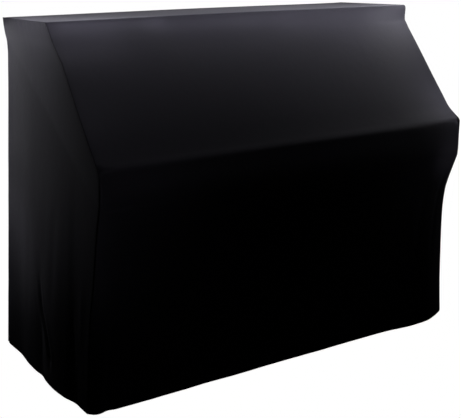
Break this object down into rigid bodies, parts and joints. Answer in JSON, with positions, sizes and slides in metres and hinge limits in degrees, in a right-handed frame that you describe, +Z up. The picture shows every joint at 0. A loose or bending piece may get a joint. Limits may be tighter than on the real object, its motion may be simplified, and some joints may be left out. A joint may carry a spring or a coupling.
{
  "type": "piano cover",
  "caption": "Fitted cloth dust cover for an upright piano, hollow and open at the hem, with a sloping front and a stepped key-bed.",
  "frame": {"origin": "under the cloth at the middle of the lid, on the face that the piano's lid holds up", "axes": "+X along the piano's width to the right as seen from the front, +Y towards the back, +Z up; the key-bed side faces -Y"},
  "size_m": [1.6261, 0.7774, 1.222],
  "materials": {
    "cover_cloth": "smooth matt black woven cloth with a faint cool sheen"
  },
  "bodies": {
    "root": {"top_front_panel": "cover_cloth", "left_side_panel": "cover_cloth", "right_side_panel": "cover_cloth", "back_panel": "cover_cloth"}
  },
  "joints": []
}
